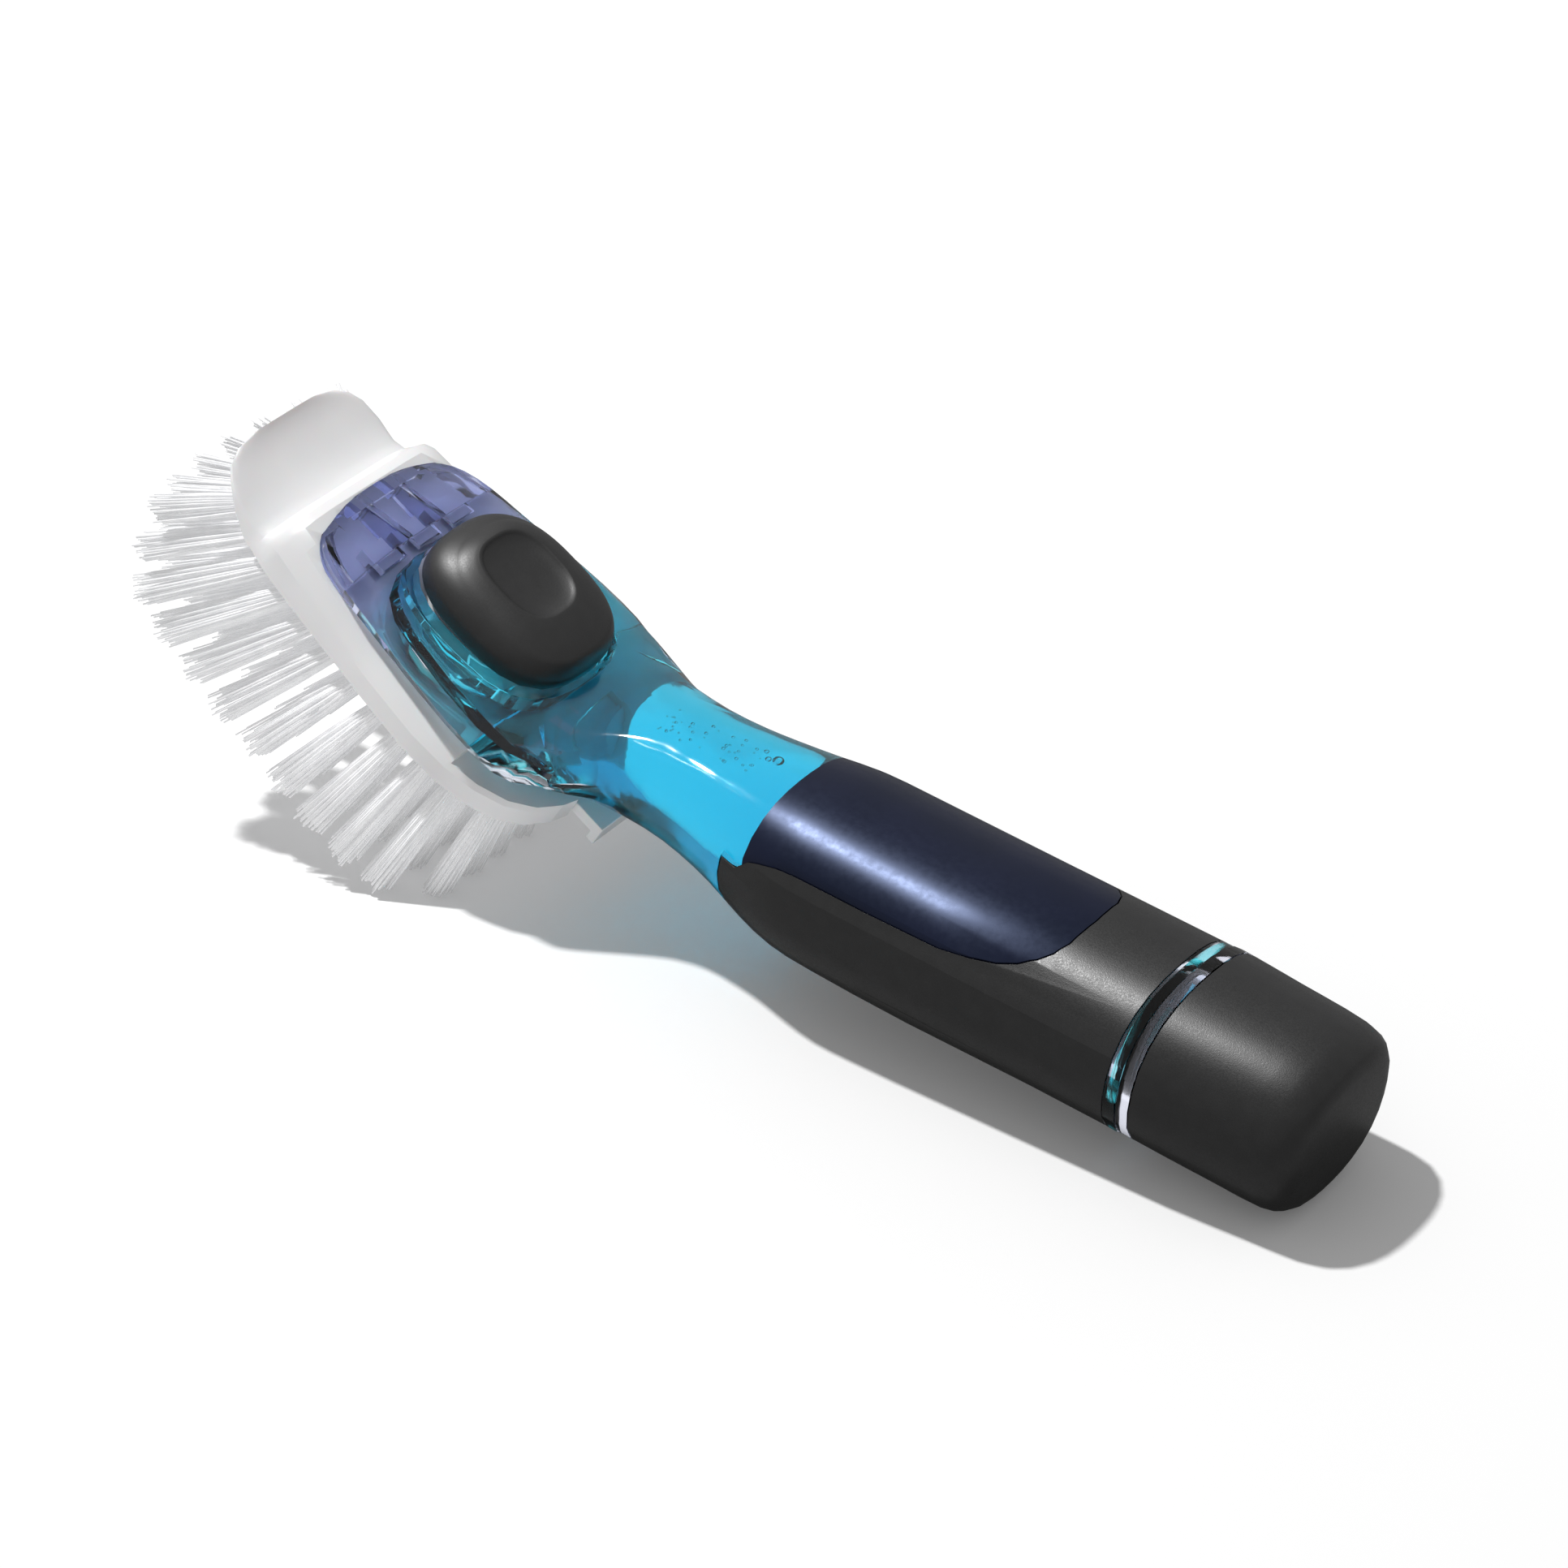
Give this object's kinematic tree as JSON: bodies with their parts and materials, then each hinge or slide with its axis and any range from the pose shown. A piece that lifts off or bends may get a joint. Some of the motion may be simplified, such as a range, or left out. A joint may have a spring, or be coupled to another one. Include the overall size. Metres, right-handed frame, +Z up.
{
  "type": "dish brush",
  "caption": "Dish brush with a clear soap reservoir handle, soft black grip, screw cap, thumb button that opens a valve, and a white brush head with a scraper lip that lifts off.",
  "frame": {"origin": "On the surface that the brush rests on, under the middle of its bounding box", "axes": "+X towards the end cap, along the handle; +Y across the handle; +Z up, with the thumb button on the upper side"},
  "size_m": [0.2895, 0.0809, 0.0834],
  "materials": {
    "clear_shell": "clear, faintly tinted",
    "black_rubber": "satin soft touch",
    "white_plastic": "satin",
    "nylon_bristle": "translucent white nylon",
    "silicone": "soft seal",
    "spring_steel": "drawn wire"
  },
  "bodies": {
    "handle": {"reservoir_shell": "clear_shell", "grip_sleeve": "black_rubber", "chamber_floor": "clear_shell", "head_gasket": "silicone", "valve_seat": "silicone", "button_plate": "white_plastic", "rod_seal": "silicone", "inlet_strainer": "white_plastic"},
    "button": {"thumb_button": "black_rubber", "plunger_rod": "white_plastic", "plunger_clip": "white_plastic", "valve_poppet": "silicone", "return_spring": "spring_steel"},
    "cap_seal": {"cap_gasket": "silicone"},
    "cap": {"end_cap": "black_rubber", "cap_liner": "clear_shell"},
    "brush_head": {"brush_base": "white_plastic", "outlet_grommet": "silicone", "tab_pin": "spring_steel", "bristles_front": "nylon_bristle", "bristles_middle": "nylon_bristle", "bristles_rear": "nylon_bristle"},
    "latch": {"release_tab": "white_plastic"}
  },
  "joints": [
    {"name": "button_press", "type": "slide", "parent": "handle", "child": "button", "axis": [-0.524, 0, -0.8517], "range_m": [0, 0.0022], "stiffness_N_per_m": 1200, "springref_m": -0.0015, "deforming": ["return_spring"]},
    {"name": "cap_lift", "type": "slide", "parent": "handle", "child": "cap_seal", "axis": [0.9921, 0, -0.1253], "range_m": [0, 0.006]},
    {"name": "cap_turn", "type": "hinge", "parent": "cap_seal", "child": "cap", "pos_m": [0.14315, 0, 0.01746], "axis": [0.9921, 0, -0.1253], "range_deg": [0, 540]},
    {"name": "head_pull", "type": "slide", "parent": "handle", "child": "brush_head", "axis": [-0.8517, 0, 0.524], "range_m": [0, 0.04]},
    {"name": "tab_release", "type": "hinge", "parent": "brush_head", "child": "latch", "pos_m": [-0.04464, 0, 0.02567], "axis": [0, 1, 0], "range_deg": [0, 12], "stiffness_Nm_per_rad": 0.05, "springref_deg": -5.73}
  ],
  "couplings": [
    {"joint": "cap_turn", "follows": "cap_lift", "rad_per_m": 1570.8}
  ]
}
